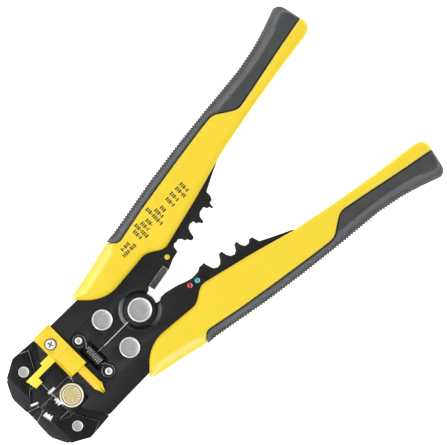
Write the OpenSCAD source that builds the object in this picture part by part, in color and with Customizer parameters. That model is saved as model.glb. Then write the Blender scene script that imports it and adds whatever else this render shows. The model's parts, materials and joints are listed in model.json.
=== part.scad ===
/* [Thickness stack] */
// Thickness of each handle, which is also the whole tool lying flat
tool_t = 18; // [16:0.5:22]
// Thickness of the two forged levers between the side plates
lever_t = 6; // [5:0.5:7]
// Thickness of each stamped side plate
plate_t = 2.4; // [2:0.1:3]

/* [Pivots] */
// Radius of the visible head of the main pivot rivet
pivot_head_r = 5.2; // [4.5:0.1:6]
// Radius of the shank of the main pivot rivet
pivot_pin_r = 3; // [2.5:0.1:3.4]
// Distance of the jaw-arm pivots in front of the main pivot
arm_pivot_x = 14.2; // [13.8:0.1:14.8]
// Distance of each jaw-arm pivot from the centre line
arm_pivot_y = 8.2; // [8:0.1:8.6]
// Radius of the visible heads of the jaw-arm rivets
arm_head_r = 4.4; // [3.5:0.1:4.8]
// Radius of the shanks of the jaw-arm rivets
arm_pin_r = 2.6; // [2:0.1:3]
// Running clearance round every pin that something turns on
pin_gap = 0.06; // [0.02:0.01:0.1]

/* [Jaws] */
// Front end of the jaws, measured from the main pivot
jaw_end_x = 64.5; // [64:0.1:65]
// Half of the slit that is left between the two jaws
jaw_gap = 0.05; // [0.05:0.05:0.3]
// Radius of the round relief in the jaw plates
relief_r = 11; // [10:0.1:11.5]
// Pitch of the gripping teeth
tooth_pitch = 0.8; // [0.6:0.05:1]
// Number of gripping teeth in each jaw
tooth_n = 8; // [5:1:8]

/* [Blades] */
// Length of the blade holders along the tool
holder_l = 10.8; // [9:0.1:11]
// Room behind the holders, which they slide back into
holder_stroke = 8.6; // [6:0.1:9]

/* [Return spring] */
// Outer diameter of the tension spring
spring_d = 4.9; // [4:0.1:5]
// Thickness of the spring wire
wire_d = 0.75; // [0.5:0.05:0.8]
// Number of turns
turns = 9.5; // [6:0.5:10]
// Pitch of the turns, with the spring a little stretched
turn_pitch = 0.93; // [0.9:0.01:0.95]
// Distance of each spring post from the centre line
post_y = 9; // [8.8:0.1:9.3]
// Distance of the spring posts in front of the main pivot
post_x = 27.5; // [27:0.1:28]

/* [Wire stop and knob] */
// Rear edge of the wire stop
stop_x = 31.5; // [31.2:0.1:32]
// Width of the wire stop along the tool
stop_w = 9; // [8:0.1:9]
// Radius of the adjusting knob
knob_r = 5.2; // [4.5:0.1:5.3]
// Number of notches in the rim of the knob
knob_notches = 24; // [12:1:30]

/* [Hidden] */
$fn = 64;
left = 1;
right = -1;

// Heights, from the surface that the tool lies on
mid_z = tool_t / 2;
lever_z0 = mid_z - lever_t / 2;
lever_z1 = mid_z + lever_t / 2;
plate_z1 = lever_z1 + plate_t;
plate_z0 = lever_z0 - plate_t;
slip = 0.2;                     // gap between flat faces that slide on each other
arm_z0 = lever_z0 + slip;
arm_z1 = lever_z1 - slip;
arm_t = arm_z1 - arm_z0;
jaw_plate_t = plate_t - slip;
lap_gap = 0.05;                 // half of the gap between the two lapped hub discs
hub_r = 7.2;
hub_clear_r = hub_r + 0.3;
ring_r = 8.7;                   // recess in the side plates round the pivot washers
ring_wall_r = ring_r - 1.3;
washer_r = 6.9;
pivot_head_t = 2.6;
boss_r = 6;
rivet_head_t = 1.5;

// Places in the head
seam_y = 0.1;
seam_gap = 0.14;
rear_seam_x = 26;               // from here the seam of the rear plates steps aside
rear_seam_step = 0.6;
jaw_rivet_x = 53;
jaw_rivet_y = 16;
jaw_head_r = 2.3;
jaw_head_t = 0.8;
jaw_pin_r = 1.2;
grip_x0 = 51.7;
grip_x1 = 58.7;
pocket_y = 8.8;                 // the arms are open inside this line, for holder and grip
holder_x1 = 51.3;
holder_x0 = holder_x1 - holder_l;
holder_y1 = pocket_y - slip;
blade_y0 = 0.06;
blade_y1 = 1.65;
guide_t = 1.8;
guide_depth = 1.6;
lap_z = arm_z0 + 1.4;           // top of the lips that close the slit between the jaws
lap_y = 0.4;
knob_x = 45.5;
knob_y = 5.1;
knob_z0 = plate_z1 + 0.3;
bracket_t = 1.8;
stop_z0 = plate_z1 + slip;
stop_screw_x = stop_x + 5.2;
stop_screw_y = -16.2;
stop_screw_r = 1.5;
nut_w = 5.4;
spring_z = plate_z1 - 0.3 - spring_d / 2;
coil_r = (spring_d - wire_d) / 2;
hook_z = spring_z + coil_r;
post_recess = 1.2;              // depth of the recess round each spring post
post_r = 1.6;
neck_top = spring_z - spring_d / 2 - 0.3;
dot_r = 1.15;
dot_t = 0.2;

function flip(points) = [for (p = points) [p.x, -p.y]];

// Crimping edge of each lever, from the hub to where it goes into the handle
left_edge = [[-6.8, 2.8], [-8.5, 3.2], [-10, 2.4], [-12.5, 2.5], [-18, 3.8], [-22.5, 5.5],
    [-25, 6.1], [-28.5, 5.9], [-30.3, 4.9], [-31.5, 5.1], [-32.7, 5], [-33.3, 7.4],
    [-34, 9.4], [-35.5, 10.5], [-37, 10.4], [-38.1, 9.6], [-39.9, 6.9], [-41.5, 6.9],
    [-41.9, 9.2], [-42.8, 10.9], [-44.5, 11.7], [-45.9, 11], [-47.5, 8.5], [-48.8, 8.4],
    [-49.2, 10.6], [-50.2, 12.3], [-52, 12.6], [-53.4, 11.5], [-54.8, 11.7],
    [-55.3, 13.3], [-55.8, 15.1], [-60, 17.2], [-69, 21.5]];
right_edge = flip([[-6.8, 2.8], [-8.2, 3.2], [-8.6, 3.6], [-9.57, 4.54], [-20.03, 6.26],
    [-20.5, 3.4], [-21.8, 4], [-25, 5.4], [-28.3, 6.1], [-28.7, 8.6], [-29.6, 9.5],
    [-31.1, 9.3], [-32, 9.7], [-33.3, 8.7], [-33.8, 7.3], [-35, 6.8], [-35.5, 5.5],
    [-36.7, 5.1], [-37.5, 5.7], [-37.9, 7.9], [-38.7, 9.9], [-40.2, 10.7], [-42, 10.4],
    [-42.3, 8.8], [-43.2, 8.6], [-44.2, 7], [-45.1, 7.5], [-45.4, 9.9], [-46.7, 11.2],
    [-49.3, 11.7], [-50, 10.2], [-51.2, 9.9], [-51.4, 8.7], [-52.2, 8.6], [-52.4, 10.9],
    [-54.1, 11.5], [-54.8, 13.1], [-54.8, 15.3], [-60, 18], [-67.5, 21.6]]);
// The rest of a lever: the tang in the handle and the rail along the edge of the head
lever_back = [[-73, 26], [-84, 31.5], [-100, 34.5], [-121, 39], [-122, 42.5], [-100, 38.2],
    [-80, 34.5], [-50, 28.5], [-20, 23.8], [0, 22.5], [16, 21.5], [30, 21.7], [40.8, 21.9],
    [40.8, 19.6], [26, 19.4], [22, 16.2], [10, 15.3], [7.6, 12], [7.6, 0.15]];

// Side plates: rear and inner edge of each, and the outline that both share
left_plate_edge = [[-7, 4.2], [-12.5, 3.3], [-18, 4.6], [-22.5, 6.3], [-27.5, 6.9]];
right_plate_edge = [[-7, 4.2], [-8.6, 4.6], [-9.8, 5.3], [-20, 6.9], [-21.8, 4.9],
    [-25, 6.1], [-27.7, 6.9]];
plate_back = [[-29.5, 12.5], [-28, 20], [-15, 23.2], [0, 22.5], [16, 21.6], [30, 21.8],
    [39.8, 22.1], [45.7, 13.2], [46.3, 11.6], [45.6, 10.8], [41, 10.8]];

// Outline of a jaw, from its rear outer corner round the nose
jaw_outer = [[50, 23.2], [52.5, 23.3], [57, 20.8], [60, 19.2], [60.2, 18.5], [60.9, 18.3],
    [62, 16.5], [64.2, 12], [jaw_end_x, 10], [jaw_end_x - 0.3, 3.2]];

// Handle: the edge of the shell, the groove between shell and grip, and the grip's edge
shell_edge = [[-131.5, 32.5], [-110, 29.6], [-90, 26.2], [-70, 22.3], [-50, 16.6],
    [-30, 11.7], [-26.5, 10.8], [-24, 11.4], [-20, 14.2], [-17.5, 15.1], [-10, 14.4],
    [0, 13.5], [2.5, 13.5], [5, 13.9], [7.5, 14.8], [10, 16.1], [12.5, 18], [16.5, 22.5],
    [17, 23.4], [15, 24.5], [0, 27.5]];
groove_edge = [[-10, 30.1], [-12.5, 27], [-14.5, 26.3], [-20, 27.4], [-30, 29.4],
    [-50, 32.6], [-70, 35.5], [-77.5, 36.4], [-80, 36], [-85, 32.6], [-88, 30.9],
    [-90, 30.6], [-100, 32.5], [-120, 36.6], [-134.3, 39.2]];
shell_end = [[-134.8, 37], [-134, 34]];
grip_edge = [[-132.5, 47.5], [-131.2, 49.4], [-129, 50.1], [-120, 46.8], [-110, 44.2],
    [-100, 42.3], [-80, 40.4], [-60, 38.2], [-40, 35.4], [-20, 31.8]];

module on_side(side) {
    if (side == left) children();
    else mirror([0, 1, 0]) children();
}

module slab(z0, z1) {
    translate([0, 0, z0]) linear_extrude(height = z1 - z0) children();
}

module disc(x, y, r, z0, z1) {
    translate([x, y, z0]) cylinder(r = r, h = z1 - z0);
}

// A flat outline turned so that it stands across the tool: x of the outline is the
// tool's X, y of the outline is the tool's Z
module across(y0, y1) {
    translate([0, y1, 0]) rotate([90, 0, 0]) linear_extrude(height = y1 - y0) children();
}

module lever_shape(side) {
    edge = side == left ? left_edge : flip(right_edge);
    on_side(side) difference() {
        polygon(concat(edge, lever_back));
        translate([arm_pivot_x, arm_pivot_y]) circle(r = boss_r + 0.4);
    }
}

// Each hub disc takes half of the thickness, so the two levers lap at the pivot
module lever(side) {
    own0 = side == left ? mid_z + lap_gap : lever_z0;
    own1 = side == left ? lever_z1 : mid_z - lap_gap;
    bore = side == left ? pivot_pin_r + pin_gap : pivot_pin_r;
    difference() {
        union() {
            difference() {
                slab(lever_z0, lever_z1) lever_shape(side);
                disc(0, 0, hub_clear_r, lever_z0 - 1, lever_z1 + 1);
            }
            slab(own0, own1) {
                circle(r = hub_r);
                intersection() {
                    lever_shape(side);
                    circle(r = hub_clear_r + 0.5);
                }
            }
        }
        disc(0, 0, bore, lever_z0 - 1, lever_z1 + 1);
    }
}

module plate_shape(side, step = 0) {
    edge = side == left ? left_plate_edge : right_plate_edge;
    seam = side == left ? seam_y + seam_gap : -(seam_y - seam_gap);
    front_seam = side == left ? seam - step : seam + step;
    step_x = side == left ? rear_seam_x + slip : rear_seam_x;
    on_side(side) difference() {
        polygon(concat([[-6, seam]], edge, plate_back, [[41, front_seam]],
            step == 0 ? [] : [[step_x, front_seam], [step_x, seam]]));
        circle(r = ring_wall_r);
        translate([arm_pivot_x, arm_pivot_y]) circle(r = arm_pin_r);
    }
}

module spring_recess(side) {
    window_x = spring_d / 2 + 0.9;
    on_side(side) {
        slab(lever_z1 - 1, plate_z1 + 1)
            translate([post_x - 0.2 - window_x, -1]) square([2 * window_x, 6.8]);
        slab(plate_z1 - post_recess, plate_z1 + 1) {
            translate([post_x, post_y]) circle(r = 3.5);
            translate([post_x - window_x + 0.2, 5]) square([window_x + 1, 4]);
        }
        disc(post_x, post_y, post_r - 0.4, lever_z1 - 1, plate_z1 + 1);
    }
}

// The recess round the pivot is dished towards the outside face
module ring_recess() {
    dish = 1.3;
    translate([0, 0, plate_z1 - dish])
        cylinder(r1 = ring_wall_r, r2 = ring_r + 0.4, h = dish + 0.01);
}

module front_plate(side) {
    difference() {
        slab(lever_z1, plate_z1) plate_shape(side);
        ring_recess();
        spring_recess(side);
    }
}

module rear_plate(side) {
    slab(plate_z0, lever_z0) plate_shape(side, rear_seam_step);
}

module handle_cut(side) {
    lever(side);
    slab(plate_z0, lever_z0) plate_shape(side);
    slab(lever_z1, plate_z1) plate_shape(side);
}

module handle_shell(side) {
    difference() {
        on_side(side) slab(0, tool_t)
            polygon(concat(shell_edge, groove_edge, shell_end));
        handle_cut(side);
    }
}

module handle_grip(side) {
    groove_back = [for (i = [len(groove_edge) - 1 : -1 : 0]) groove_edge[i]];
    difference() {
        on_side(side) slab(0, tool_t) polygon(concat(groove_back,
            [for (i = [len(grip_edge) - 1 : -1 : 0]) grip_edge[i]]));
        handle_cut(side);
    }
}

// Hard insert with a ground edge, in a step of the right lever
module cutter_insert() {
    blade_l = 10.6;
    blade_w = 2.9;
    edge_t = 0.8;
    translate([-20.5, -3.4, mid_z]) rotate([0, 0, 9.35]) rotate([90, 0, 90])
        linear_extrude(height = blade_l) polygon([[-blade_w, -lever_t / 2],
            [0, -edge_t / 2], [0, edge_t / 2], [-blade_w, lever_t / 2]]);
}

module spring_post(side) {
    on_side(side) {
        disc(post_x, post_y, post_r - 0.4, lever_z1, plate_z1);
        disc(post_x, post_y, post_r, plate_z1 - post_recess, plate_z1 + 0.1);
    }
}

module pivot_rivet() {
    disc(0, 0, pivot_pin_r, 0.5, tool_t - 1);
    disc(0, 0, pivot_head_r, 0, plate_z0);
    disc(0, 0, pivot_head_r, plate_z1, plate_z1 + pivot_head_t);
}

module washers() {
    for (z = [[plate_z0, lever_z0], [lever_z1 + 0.1, plate_z1]]) difference() {
        disc(0, 0, washer_r, z[0], z[1]);
        disc(0, 0, pivot_pin_r, z[0] - 1, z[1] + 1);
    }
}

module arm_rivet(side) {
    on_side(side) {
        disc(arm_pivot_x, arm_pivot_y, arm_pin_r, plate_z0 - 1, plate_z1 + 1);
        disc(arm_pivot_x, arm_pivot_y, arm_head_r, plate_z0 - rivet_head_t, plate_z0);
        disc(arm_pivot_x, arm_pivot_y, arm_head_r, plate_z1, plate_z1 + rivet_head_t);
    }
}

module code_dot(x, y) {
    disc(x, y, dot_r, plate_z1, plate_z1 + dot_t);
}

module arm_shape() {
    translate([arm_pivot_x, arm_pivot_y]) circle(r = boss_r);
    rear_x = holder_x0 - holder_stroke - 0.7;
    polygon(concat([[arm_pivot_x, arm_pivot_y - boss_r], [22, jaw_gap], [rear_x, jaw_gap],
        [rear_x, pocket_y], [grip_x1 + slip, pocket_y], [grip_x1 + slip, jaw_gap],
        [jaw_end_x - 0.3, jaw_gap]],
        [for (i = [len(jaw_outer) - 1 : -1 : 0]) jaw_outer[i]],
        [[41.1, 22.5], [41.1, 14], [39, 12.8], [22, 12.8],
        [arm_pivot_x, arm_pivot_y + boss_r]]));
}

// See-through openings between the grip and the nose of each jaw
module nose_hole(side) {
    if (side == left)
        polygon([[60.8, 2.6], [58.2, 2.7], [58.7, 3.9], [57.7, 4.4], [58.7, 4.9],
            [57.3, 5.7], [58.8, 6.1], [59.9, 6.8]]);
    else polygon([[58.3, 2.3], [61.7, 3.5], [61.2, 4.6], [59.6, 3.7], [57.8, 2.9]]);
}

// Lips on the left parts lie in room left for them in the right ones, and close the slit
// between the jaws from behind
module lap_lip(x0, x1, z0 = arm_z0) {
    slab(z0, lap_z) translate([x0, -lap_y]) square([x1 - x0, lap_y + 0.5]);
}

module lap_room(x0, x1) {
    slab(arm_z0 - 1, lap_z + slip) translate([x0, -1]) square([x1 - x0, lap_y + 1.5]);
}

module jaw_arm(side) {
    if (side == left) lap_lip(grip_x1 + slip, jaw_end_x - 0.5);
    on_side(side) difference() {
        slab(arm_z0, arm_z1) arm_shape();
        disc(arm_pivot_x, arm_pivot_y, arm_pin_r + pin_gap, arm_z0 - 1, arm_z1 + 1);
        disc(jaw_rivet_x, jaw_rivet_y, jaw_pin_r, arm_z0 - 1, arm_z1 + 1);
        slab(arm_z0 - 1, arm_z1 + 1) nose_hole(side);
        // Throat that leads a wire in between the jaws
        slab(mid_z + 1, arm_z1 + 1) polygon([[grip_x1, -1], [grip_x1, 1], [61, 1.9],
            [jaw_end_x + 1, 3.3], [jaw_end_x + 1, -1]]);
        if (side == right) lap_room(grip_x1, jaw_end_x + 1);
        // Neck, lowered so that the spring passes over it
        translate([20.8, -1, neck_top]) cube([12.7, 20, arm_t]);
        // Groove that guides the blade holder
        translate([0, pocket_y - 1, mid_z - guide_t / 2 - slip])
            translate([holder_x0 - holder_stroke, 0, 0])
            cube([holder_l + holder_stroke, 1 + guide_depth + slip, guide_t + 2 * slip]);
    }
}

module jaw_plate_shape(side) {
    difference() {
        polygon(concat([[49.9, 12.3], [45.2, 21]], jaw_outer, [[60, 1.6], [50, 10]]));
        translate([50, 0]) circle(r = relief_r);
        translate([jaw_rivet_x, jaw_rivet_y]) circle(r = jaw_pin_r);
        nose_hole(side);
    }
}

// The outside face steps down to the nose and is ground down along it
module jaw_plate(side, front) {
    face = arm_z1 + jaw_plate_t;
    nose = arm_z1 + 0.8;
    step_x = 59.2;
    step = 0.45;
    module ground() {
        on_side(side) intersection() {
            slab(arm_z1, face) jaw_plate_shape(side);
            across(0, 30) polygon([[40, arm_z1], [jaw_end_x + 1, arm_z1],
                [jaw_end_x + 1, nose], [step_x + 0.1, face - step], [step_x, face],
                [40, face]]);
        }
    }
    if (front) ground();
    else translate([0, 0, tool_t]) mirror([0, 0, 1]) ground();
}

module grip_shape(side) {
    difference() {
        translate([grip_x0, jaw_gap])
            square([grip_x1 - grip_x0, pocket_y - jaw_gap - 0.1]);
        for (i = [0 : tooth_n - 1]) translate([grip_x0 + 0.6 + i * tooth_pitch, jaw_gap])
            polygon([[-0.25, -0.1], [0.25, -0.1], [0, 0.5]]);
        nose_hole(side);
        if (side == left) polygon([[51, 1.2], [52.7, 1.3], [52.9, 1.7], [52.1, 2.1],
            [53.2, 2.6], [53.2, 3.1], [52.1, 3.3], [53.2, 3.8], [53.1, 4.3], [52.1, 4.5],
            [51.9, 4.9], [51, 4.9]]);
        else translate([51, 1.7]) square([1.5, 1.05]);
    }
}

module grip_insert(side) {
    if (side == left) lap_lip(grip_x0, grip_x1);
    on_side(side) difference() {
        slab(arm_z0, arm_z1) grip_shape(side);
        if (side == right) lap_room(grip_x0 - 1, grip_x1 + 1);
    }
}

module jaw_rivet(side) {
    on_side(side) {
        face = arm_z1 + jaw_plate_t;
        low_face = arm_z0 - jaw_plate_t;
        disc(jaw_rivet_x, jaw_rivet_y, jaw_pin_r, low_face - 0.5, face + 0.5);
        disc(jaw_rivet_x, jaw_rivet_y, jaw_head_r, face, face + jaw_head_t);
        disc(jaw_rivet_x, jaw_rivet_y, jaw_head_r, low_face - jaw_head_t, low_face);
    }
}

// Slides back in the jaw arm, held by a tongue in the arm's groove
module blade_holder(side) {
    on_side(side) {
        slab(arm_z0 + slip, arm_z1 - slip) difference() {
            translate([holder_x0, blade_y1])
                square([holder_l, holder_y1 - blade_y1]);
            if (side == right) translate([48.7, blade_y1 - 0.5]) square([3, 1.6]);
            else translate([50.9, blade_y1 - 0.5]) square([0.5, 4]);
        }
        translate([holder_x0 + 0.5, holder_y1 - 0.5, mid_z - guide_t / 2])
            cube([holder_l - 1, 0.5 + guide_depth, guide_t]);
    }
}

module strip_blade(side) {
    rear_x = holder_x0 + 1;
    rear_y = blade_y0 + 0.06;
    if (side == left) lap_lip(rear_x, holder_x1, arm_z0 + slip);
    on_side(side) difference() {
        slab(arm_z0 + slip, arm_z1 - slip)
            polygon([[rear_x, blade_y1], [rear_x, rear_y], [holder_x1 - 1.5, rear_y],
                [holder_x1 - 0.4, blade_y0], [holder_x1, blade_y0], [holder_x1, blade_y1]]);
        if (side == right) lap_room(rear_x - 1, holder_x1 + 1);
    }
}

module bracket() {
    difference() {
        slab(lever_z1, lever_z1 + bracket_t) {
            translate([42.6, 0.5]) square([7.7, 9.7]);
            polygon([[50, 5.9], [51.4, 6.2], [51.4, 10.2], [53, 11.5], [53, 13], [49.9, 13],
                [50, 10]]);
        }
        disc(knob_x, knob_y, 1.6, lever_z1 - 1, lever_z1 + 3);
        slab(arm_z0, plate_z1) jaw_plate_shape(left);
    }
}

module stud() {
    disc(knob_x, knob_y, 1.6, lever_z1, knob_z0 + 2.4);
}

module knob() {
    difference() {
        union() {
            disc(knob_x, knob_y, 3, lever_z1 + bracket_t + 0.1, knob_z0 + 1);
            disc(knob_x, knob_y, knob_r, knob_z0, knob_z0 + 3);
        }
        disc(knob_x, knob_y, 1.6 + pin_gap, lever_z1, knob_z0 + 4);
        // Turned groove in the face, then the notches in the rim
        difference() {
            disc(knob_x, knob_y, 4.3, knob_z0 + 2.5, knob_z0 + 4);
            disc(knob_x, knob_y, 3.5, knob_z0 + 2, knob_z0 + 5);
        }
        for (i = [0 : knob_notches - 1])
            translate([knob_x, knob_y, knob_z0 - 1]) rotate([0, 0, i * 360 / knob_notches])
                translate([knob_r + 0.15, 0, 0]) cylinder(r = 0.4, h = 6, $fn = 16);
    }
}

module wire_stop_body() {
    low_t = 2;
    block_t = 3;
    lip_y = -22.9;
    lip_t = 0.6;
    difference() {
        union() {
            translate([stop_x, lip_y, stop_z0]) cube([stop_w, 13, low_t]);
            // Raised block with a sloping front, and the lip over the edge of the plate
            translate([0, 0, stop_z0]) across(-10, -0.3) polygon([[stop_x, 0],
                [stop_x + stop_w, 0], [stop_x + stop_w, 1], [stop_x + stop_w - 1.4, block_t],
                [stop_x, block_t]]);
            translate([stop_x, lip_y, stop_z0 - 2]) cube([stop_w, lip_t, 3]);
            // Tongue with a split point, ridged along its length
            intersection() {
                slab(stop_z0 + 0.1, stop_z0 + 1.9) polygon([[33, -1], [33, 9.6], [32.6, 10],
                    [33.4, 11.6], [34.6, 14], [34.9, 10.6], [35.2, 14], [36.2, 11.6],
                    [37, 10], [36.9, 9.6], [36.9, -1]]);
                translate([0, 0, stop_z0]) across(-2, 15) polygon([[32, 0], [38, 0],
                    [38, 0.4], [35.4, 1.9], [33.6, 1.9], [32, 1]]);
            }
            slab(stop_z0 + 0.5, stop_z0 + 2.2) polygon([[40, -13.7], [45.5, -13.7],
                [45.5, -12.4], [55, -12.4], [54, -7.4], [50.3, -7.4], [50.3, -9.8],
                [40, -9.8]]);
        }
        disc(stop_screw_x, stop_screw_y, stop_screw_r, stop_z0 - 1, stop_z0 + 4);
        disc(stop_screw_x, stop_screw_y, 2.6, stop_z0 + low_t - 0.4, stop_z0 + 4);
        nut_block();
    }
}

module stop_screw() {
    seat = stop_z0 + 1.6;
    difference() {
        union() {
            disc(stop_screw_x, stop_screw_y, stop_screw_r, plate_z1 + 0.1, seat);
            disc(stop_screw_x, stop_screw_y, 2.5, seat, seat + 0.3);
            disc(stop_screw_x, stop_screw_y, 2.2, seat + 0.3, seat + 1.3);
        }
        for (turn = [0, 90]) translate([stop_screw_x, stop_screw_y, seat + 0.6])
            rotate([0, 0, turn + 20]) translate([-1.3, -0.25, 0]) cube([2.6, 0.5, 2]);
    }
}

// Square nut, held in a pocket under the slider; the screw's tip bears on the side plate
module nut_block() {
    translate([stop_screw_x - nut_w / 2, stop_screw_y - nut_w / 2, stop_z0])
        cube([nut_w, nut_w, 1.1]);
}

module stop_nut() {
    difference() {
        nut_block();
        disc(stop_screw_x, stop_screw_y, stop_screw_r, stop_z0 - 1, stop_z0 + 2);
    }
}

// Centre line of the wire: hook, coil and hook. The coil's axis lies along Y.
coil_half = turns * turn_pitch / 2;
hook_r = 2.7;
coil_steps = 14;
function coil_point(t) = let (a = 360 * t) [post_x - 0.2 + coil_r * sin(a),
    -coil_half + t * turn_pitch, spring_z - coil_r * cos(a)];
// The hook leaves the top of the coil and runs round the post
function hook_arc(a) = [post_x + hook_r * cos(a), post_y - 0.3 + hook_r * sin(a), hook_z];
hook_path = concat([[post_x - 0.3, coil_half + 0.5, hook_z],
    [post_x - 1.2, coil_half + 1.2, hook_z]],
    [for (a = [205 : -20 : -85]) hook_arc(a)]);
back_hook = [for (i = [len(hook_path) - 1 : -1 : 0])
    [hook_path[i].x, -hook_path[i].y, hook_path[i].z]];
coil_path = [for (i = [0 : turns * coil_steps - coil_steps])
    coil_point(0.5 + i / coil_steps)];
wire_path = concat(back_hook, coil_path, hook_path);

function unit(v) = v / norm(v);
function tangent(path, i) = unit(path[min(i + 1, len(path) - 1)] - path[max(i - 1, 0)]);
function side_dir(d) = unit(cross(d, abs(d.z) > 0.9 ? [0, 1, 0] : [0, 0, 1]));
function ring(path, i, r, n) = let (d = tangent(path, i), u = side_dir(d), v = cross(d, u))
    [for (k = [0 : n - 1]) path[i] + r * (cos(360 * k / n) * u + sin(360 * k / n) * v)];

module swept_wire(path, r, n) {
    count = len(path);
    points = [for (i = [0 : count - 1]) each ring(path, i, r, n)];
    walls = [for (i = [0 : count - 2], k = [0 : n - 1])
        [i * n + k, (i + 1) * n + k, (i + 1) * n + (k + 1) % n, i * n + (k + 1) % n]];
    ends = [[for (k = [0 : n - 1]) k], [for (k = [n - 1 : -1 : 0]) (count - 1) * n + k]];
    polyhedron(points = points, faces = concat(walls, ends));
}

steel = [0.13, 0.13, 0.14];
rivet_steel = [0.72, 0.71, 0.71];
yellow = [0.97, 0.86, 0.25];
rubber = [0.28, 0.28, 0.29];

module right_lever() color(steel) lever(right);
module left_lever() color(steel) lever(left);
module right_front_plate() color(steel) front_plate(right);
module left_front_plate() color(steel) front_plate(left);
module right_rear_plate() color(steel) rear_plate(right);
module left_rear_plate() color(steel) rear_plate(left);
module right_handle_shell() color(yellow) handle_shell(right);
module left_handle_shell() color(yellow) handle_shell(left);
module right_handle_grip() color(rubber) handle_grip(right);
module left_handle_grip() color(rubber) handle_grip(left);
module cutter_blade() color([0.4, 0.4, 0.41]) cutter_insert();
module right_spring_post() color(rivet_steel) spring_post(right);
module left_spring_post() color(rivet_steel) spring_post(left);
module main_pivot_rivet() color(rivet_steel) pivot_rivet();
module pivot_washers() color(steel) washers();
module right_arm_rivet() color(rivet_steel) arm_rivet(right);
module left_arm_rivet() color(rivet_steel) arm_rivet(left);
module right_code_dot() color("gold") code_dot(-23.7, -7.6);
module left_code_dots() {
    color("deepskyblue") code_dot(-25.7, 8.3);
    color("crimson") code_dot(-22, 7.6);
}
module return_spring() color([0.2, 0.2, 0.2]) swept_wire(wire_path, wire_d / 2, 8);
module right_jaw_arm() color(steel) jaw_arm(right);
module left_jaw_arm() color(steel) jaw_arm(left);
module right_front_jaw_plate() color(steel) jaw_plate(right, true);
module left_front_jaw_plate() color(steel) jaw_plate(left, true);
module right_rear_jaw_plate() color(steel) jaw_plate(right, false);
module left_rear_jaw_plate() color(steel) jaw_plate(left, false);
module right_grip_insert() color(steel) grip_insert(right);
module left_grip_insert() color(steel) grip_insert(left);
module right_jaw_rivet() color(rivet_steel) jaw_rivet(right);
module left_jaw_rivet() color(rivet_steel) jaw_rivet(left);
module knob_bracket() color(steel) bracket();
module knob_stud() color([0.8, 0.72, 0.55]) stud();
module right_blade_holder() color(steel) blade_holder(right);
module left_blade_holder() color(steel) blade_holder(left);
module right_strip_blade() color([0.5, 0.5, 0.5]) strip_blade(right);
module left_strip_blade() color([0.5, 0.5, 0.5]) strip_blade(left);
module wire_stop() color([1, 0.87, 0.15]) wire_stop_body();
module wire_stop_screw() color(rivet_steel) stop_screw();
module wire_stop_nut() color(rivet_steel) stop_nut();
module adjusting_knob() color([0.84, 0.76, 0.58]) knob();

right_lever();
right_front_plate();
right_rear_plate();
right_handle_shell();
right_handle_grip();
cutter_blade();
right_spring_post();
main_pivot_rivet();
pivot_washers();
right_arm_rivet();
right_code_dot();
return_spring();
left_lever();
left_front_plate();
left_rear_plate();
left_handle_shell();
left_handle_grip();
left_spring_post();
left_arm_rivet();
left_code_dots();
right_jaw_arm();
right_front_jaw_plate();
right_rear_jaw_plate();
right_grip_insert();
right_jaw_rivet();
left_jaw_arm();
left_front_jaw_plate();
left_rear_jaw_plate();
left_grip_insert();
left_jaw_rivet();
knob_bracket();
knob_stud();
right_blade_holder();
right_strip_blade();
left_blade_holder();
left_strip_blade();
wire_stop();
wire_stop_screw();
wire_stop_nut();
adjusting_knob();
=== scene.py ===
import json
import math

import bmesh
import bpy
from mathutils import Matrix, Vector


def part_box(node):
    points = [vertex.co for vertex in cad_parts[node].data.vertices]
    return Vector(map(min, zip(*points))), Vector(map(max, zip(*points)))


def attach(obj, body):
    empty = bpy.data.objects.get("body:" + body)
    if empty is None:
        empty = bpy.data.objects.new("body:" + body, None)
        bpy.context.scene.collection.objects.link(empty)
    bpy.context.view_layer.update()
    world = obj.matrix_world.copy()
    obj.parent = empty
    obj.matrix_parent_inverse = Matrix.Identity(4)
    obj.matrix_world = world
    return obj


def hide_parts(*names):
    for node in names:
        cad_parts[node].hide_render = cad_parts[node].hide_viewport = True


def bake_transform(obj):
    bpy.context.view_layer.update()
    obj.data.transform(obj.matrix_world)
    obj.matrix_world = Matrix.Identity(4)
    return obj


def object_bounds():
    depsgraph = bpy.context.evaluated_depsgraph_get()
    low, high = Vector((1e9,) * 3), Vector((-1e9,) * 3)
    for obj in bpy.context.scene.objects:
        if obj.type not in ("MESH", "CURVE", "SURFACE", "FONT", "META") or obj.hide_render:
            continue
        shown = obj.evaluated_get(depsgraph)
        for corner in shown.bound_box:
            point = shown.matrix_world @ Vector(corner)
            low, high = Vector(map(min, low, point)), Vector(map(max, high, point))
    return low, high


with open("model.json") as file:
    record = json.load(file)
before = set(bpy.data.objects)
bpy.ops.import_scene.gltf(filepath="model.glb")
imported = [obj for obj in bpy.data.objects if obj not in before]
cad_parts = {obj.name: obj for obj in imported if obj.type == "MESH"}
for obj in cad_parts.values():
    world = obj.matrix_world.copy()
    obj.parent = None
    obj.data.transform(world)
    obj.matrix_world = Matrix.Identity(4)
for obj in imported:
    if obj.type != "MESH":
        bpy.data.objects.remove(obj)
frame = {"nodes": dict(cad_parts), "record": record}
cad_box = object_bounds()

MM = 0.001
LEFT, RIGHT = 1, -1
SIDE_NAMES = {LEFT: "left", RIGHT: "right"}
BODY_OF = {n: b for b, group in frame["record"]["behaviour"]["bodies"].items() for n in group}

# Sizes and places are in millimetres and angles in degrees, where no comment says otherwise.
# Points closer than these are one point, in a new mesh and in a CAD mesh
WELD = 1e-4
CAD_WELD = 2e-3
# Faces that meet at less than the first angle are one face, and edges sharper than the
# second are broken
FLAT_ANGLE = 0.6
SHARP_ANGLE = 28
# How many flats stand for a round wire, and for a short arc
WIRE_SIDES = 12
ARC_STEPS = 4
# How far pieces stay inside their CAD nodes: mouldings at the top, (inner, outer) at their
# sides, and turned parts all round
SKIN = 0.05
SHELL_INSET = (0.02, 0.03)
GRIP_INSET = (0.03, 0.02)
CLEARANCE = 0.02

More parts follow.
